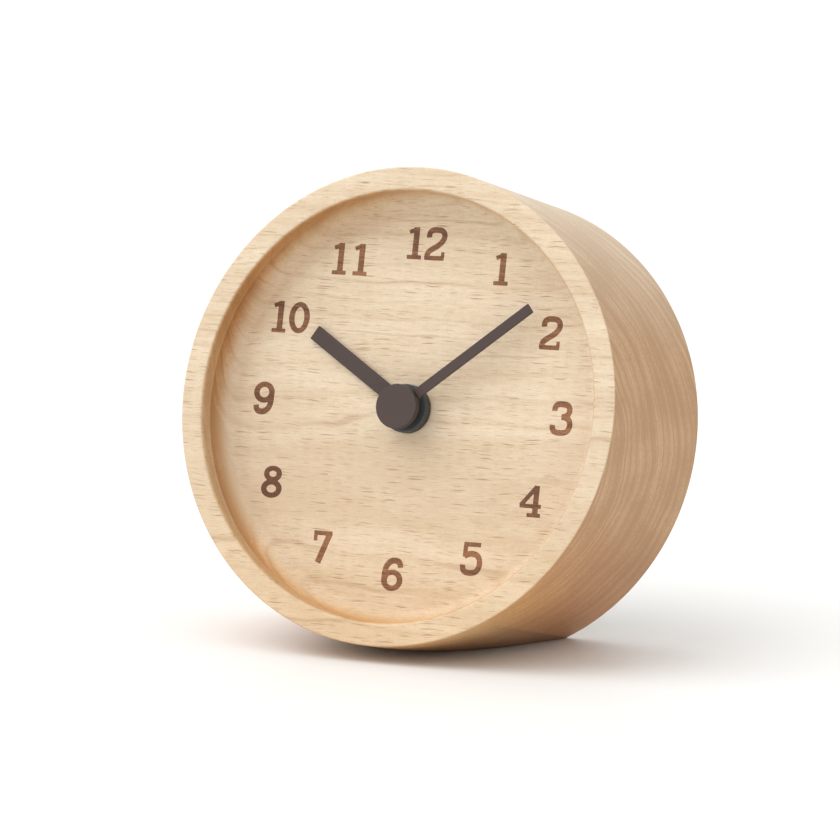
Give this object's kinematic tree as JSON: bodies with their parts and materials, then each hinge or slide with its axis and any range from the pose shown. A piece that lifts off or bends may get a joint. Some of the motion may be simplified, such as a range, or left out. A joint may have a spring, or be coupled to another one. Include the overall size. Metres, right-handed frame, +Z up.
{
  "type": "desk clock",
  "caption": "Round turned-wood desk clock leaning back on a flat cut, with bar hands in a coved dial and a battery quartz movement in a rear pocket",
  "frame": {"origin": "centre of the bounding box's base, on the floor that the flat cut rests on", "axes": "+Z up, -Y the side the dial faces, +X to the right when the dial is seen from the front"},
  "size_m": [0.108, 0.071, 0.1091],
  "materials": {
    "beech": "satin turned beech, light, natural oil",
    "hand_paint": "matte warm dark grey paint",
    "brass": "plain machined brass",
    "steel": "bright steel",
    "zinc_steel": "zinc plated steel",
    "magnet": "dark sintered magnet",
    "copper_wire": "enamelled copper wire",
    "black_plastic": "fine matte black moulded plastic",
    "white_plastic": "natural white acetal",
    "brown_board": "phenolic board",
    "chip_resin": "black potting resin",
    "capacitor": "glazed ceramic",
    "cell_jacket": "plain dark printed jacket with a bare end",
    "cell_metal": "bright nickel plated steel"
  },
  "bodies": {
    "clock_body": {"wooden_case": "beech", "stator_left": "steel", "stator_right": "steel", "coil_core": "steel", "coil_bobbin": "black_plastic", "coil_winding": "copper_wire", "circuit_board": "brown_board", "crystal_can": "steel", "control_chip": "chip_resin", "smoothing_capacitor": "capacitor", "coil_leads": "copper_wire", "front_housing": "black_plastic", "shaft_bush": "brass", "train_bridge": "white_plastic", "bridge_screws": "zinc_steel", "movement_screws": "zinc_steel", "lid_screws": "zinc_steel", "rear_lid": "black_plastic", "positive_contact": "steel", "negative_contact": "steel", "negative_spring": "steel"},
    "minute_group": {"minute_arbor": "steel", "minute_hand": "hand_paint", "centre_cap": "hand_paint", "friction_spring": "brass", "arbor_clip": "steel"},
    "hour_group": {"hour_wheel": "white_plastic", "hour_hand": "hand_paint", "hour_hand_hub": "hand_paint", "hour_washer": "brass"},
    "motion_group": {"motion_wheel": "white_plastic"},
    "setting_group": {"setting_shaft": "white_plastic", "setting_knob": "black_plastic"},
    "second_group": {"second_wheel": "white_plastic"},
    "third_group": {"third_wheel": "white_plastic"},
    "centre_group": {"centre_wheel": "white_plastic"},
    "intermediate_group": {"intermediate_wheel": "white_plastic"},
    "rotor_group": {"rotor": "white_plastic", "rotor_magnet": "magnet"},
    "cell_group": {"battery_cell": "cell_jacket", "battery_cap": "cell_metal"}
  },
  "joints": [
    {"name": "minute_turn", "type": "hinge", "parent": "clock_body", "child": "minute_group", "pos_m": [0, -0.00788, 0.05302], "axis": [0, 0.9744, -0.225], "continuous": true},
    {"name": "hour_turn", "type": "hinge", "parent": "clock_body", "child": "hour_group", "pos_m": [0, -0.00788, 0.05302], "axis": [0, 0.9744, -0.225], "continuous": true},
    {"name": "motion_turn", "type": "hinge", "parent": "clock_body", "child": "motion_group", "pos_m": [-0.0054, -0.00626, 0.06003], "axis": [0, 0.9744, -0.225], "continuous": true},
    {"name": "setting_turn", "type": "hinge", "parent": "clock_body", "child": "setting_group", "pos_m": [-0.0126, -0.00505, 0.06529], "axis": [0, 0.9744, -0.225], "continuous": true},
    {"name": "second_turn", "type": "hinge", "parent": "clock_body", "child": "second_group", "pos_m": [0, -0.00203, 0.05167], "axis": [0, 0.9744, -0.225], "continuous": true},
    {"name": "third_turn", "type": "hinge", "parent": "clock_body", "child": "third_group", "pos_m": [0.00816, -0.00261, 0.05808], "axis": [0, 0.9744, -0.225], "continuous": true},
    {"name": "centre_turn", "type": "hinge", "parent": "clock_body", "child": "centre_group", "pos_m": [0, -0.00593, 0.05257], "axis": [0, 0.9744, -0.225], "continuous": true},
    {"name": "intermediate_turn", "type": "hinge", "parent": "clock_body", "child": "intermediate_group", "pos_m": [-0.0105, -0.00106, 0.05144], "axis": [0, 0.9744, -0.225], "continuous": true},
    {"name": "rotor_turn", "type": "hinge", "parent": "clock_body", "child": "rotor_group", "pos_m": [-0.0172, -0.00512, 0.04721], "axis": [0, 0.9744, -0.225], "continuous": true},
    {"name": "cell_lift_out", "type": "slide", "parent": "clock_body", "child": "cell_group", "axis": [0, 0.9744, -0.225], "range_m": [0, 0.016]}
  ],
  "couplings": [
    {"joint": "hour_turn", "follows": "minute_turn", "ratio": 0.083333},
    {"joint": "motion_turn", "follows": "minute_turn", "ratio": -0.33333},
    {"joint": "setting_turn", "follows": "minute_turn", "ratio": 1},
    {"joint": "third_turn", "follows": "second_turn", "ratio": -0.125},
    {"joint": "centre_turn", "follows": "second_turn", "ratio": 0.016667},
    {"joint": "intermediate_turn", "follows": "second_turn", "ratio": -5},
    {"joint": "rotor_turn", "follows": "second_turn", "ratio": 30}
  ]
}
